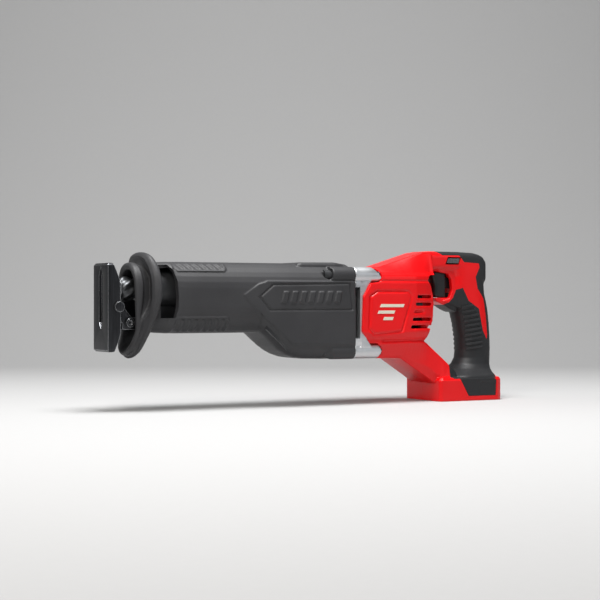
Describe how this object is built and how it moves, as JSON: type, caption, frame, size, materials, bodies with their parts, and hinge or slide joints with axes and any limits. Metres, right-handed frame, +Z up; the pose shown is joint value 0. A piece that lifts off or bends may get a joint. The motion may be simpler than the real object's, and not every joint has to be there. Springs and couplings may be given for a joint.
{
  "type": "reciprocating saw",
  "caption": "Cordless reciprocating saw without battery or blade: pivoting shoe, twist blade clamp, wobble drive in a rubber boot, motor housing and D-handle with trigger over a battery foot.",
  "frame": {"origin": "on the spindle axis, in the plane of the shoe's working face", "axes": "+X along the spindle from the shoe to the handle, +Z up, +Y to the tool's right as its user holds it"},
  "size_m": [0.478, 0.079, 0.1675],
  "materials": {
    "boot_rubber": "matte moulded rubber",
    "black_casting": "black coated die casting",
    "silver_casting": "bead blasted die casting",
    "dark_steel": "black oxide steel, satin",
    "plated_steel": "zinc plated steel",
    "bearing_steel": "ground steel",
    "forged_steel": "machined forging",
    "lamination_steel": "stacked laminations",
    "red_nylon": "moulded glass filled nylon, semi gloss",
    "grip_rubber": "overmoulded soft rubber",
    "black_plastic": "moulded black nylon",
    "grey_plastic": "moulded grey nylon",
    "fan_nylon": "natural nylon",
    "brass": "stamped brass",
    "bronze": "sintered bronze",
    "copper": "turned copper",
    "copper_wire": "enamelled copper wire",
    "carbon": "graphite",
    "magnet": "sintered ferrite",
    "red_lead": "insulated stranded lead",
    "black_lead": "insulated stranded lead"
  },
  "bodies": {
    "casing": {"front_boot": "boot_rubber", "spindle_housing": "black_casting", "gear_case": "black_casting", "gear_case_cover": "black_casting", "bulkhead": "silver_casting", "gear_case_screws": "dark_steel", "shell_left": "red_nylon", "shell_right": "red_nylon", "grip_overmold_left": "grip_rubber", "grip_overmold_right": "grip_rubber", "foot_pad_left": "grip_rubber", "foot_pad_right": "grip_rubber", "clamshell_screws": "dark_steel", "terminal_block": "black_plastic", "terminals": "brass", "switch_body": "black_plastic", "switch_heat_sink": "silver_casting", "motor_can": "plated_steel", "motor_magnets": "magnet", "motor_end_cap": "black_plastic", "brush_holders": "brass", "brushes": "carbon", "brush_springs": "plated_steel", "motor_bearing_front": "bearing_steel", "motor_bearing_rear": "bearing_steel", "front_bushing": "bronze", "rear_bushing": "bronze", "spindle_seal": "grip_rubber", "wobble_bearing_front": "bearing_steel", "wobble_bearing_rear": "bearing_steel", "battery_leads": "red_lead", "motor_leads": "black_lead", "trigger_spring": "plated_steel"},
    "spindle": {"spindle": "bearing_steel", "drive_yoke": "forged_steel", "clamp_body": "forged_steel", "clamp_pin": "bearing_steel", "clamp_retaining_ring": "dark_steel", "clamp_spring": "plated_steel"},
    "clamp_collar": {"clamp_collar": "forged_steel"},
    "wobble_arm": {"wobble_arm": "forged_steel"},
    "wobble_shaft": {"wobble_shaft": "bearing_steel", "wobble_hub": "bearing_steel", "drive_gear": "forged_steel"},
    "armature": {"armature_shaft": "bearing_steel", "pinion": "forged_steel", "armature_core": "lamination_steel", "armature_windings": "copper_wire", "commutator": "copper", "motor_fan": "fan_nylon"},
    "shoe_bracket": {"shoe_bracket": "dark_steel", "shoe_pivot_pin": "plated_steel", "bracket_screw": "dark_steel"},
    "shoe": {"shoe": "dark_steel"},
    "trigger": {"trigger": "black_plastic"},
    "lock_button": {"lock_button": "grey_plastic"}
  },
  "joints": [
    {"name": "spindle_stroke", "type": "slide", "parent": "casing", "child": "spindle", "axis": [1, 0, 0], "range_m": [0, 0.0286]},
    {"name": "collar_turn", "type": "hinge", "parent": "spindle", "child": "clamp_collar", "pos_m": [0.026, 0, 0], "axis": [1, 0, 0], "range_deg": [0, 60], "stiffness_Nm_per_rad": 0.15},
    {"name": "arm_rock", "type": "hinge", "parent": "casing", "child": "wobble_arm", "pos_m": [0.215, 0, -0.042], "axis": [0, 1, 0], "range_deg": [-0.5, 39.6]},
    {"name": "drive_spin", "type": "hinge", "parent": "casing", "child": "wobble_shaft", "pos_m": [0.26, 0, -0.042], "axis": [1, 0, 0], "continuous": true},
    {"name": "motor_spin", "type": "hinge", "parent": "casing", "child": "armature", "pos_m": [0.33, 0, -0.018], "axis": [1, 0, 0], "continuous": true},
    {"name": "shoe_depth", "type": "slide", "parent": "casing", "child": "shoe_bracket", "axis": [-1, 0, 0], "range_m": [0, 0.018]},
    {"name": "shoe_tilt", "type": "hinge", "parent": "shoe_bracket", "child": "shoe", "pos_m": [0.012, 0, -0.018], "axis": [0, 1, 0], "range_deg": [-18, 18]},
    {"name": "trigger_pull", "type": "slide", "parent": "casing", "child": "trigger", "axis": [1, 0, 0], "range_m": [0, 0.007], "stiffness_N_per_m": 900},
    {"name": "lock_push", "type": "slide", "parent": "casing", "child": "lock_button", "axis": [0, -1, 0], "range_m": [0, 0.003]}
  ],
  "couplings": [
    {"joint": "arm_rock", "follows": "spindle_stroke", "rad_per_m": 23.809},
    {"joint": "motor_spin", "follows": "drive_spin", "ratio": -5}
  ]
}
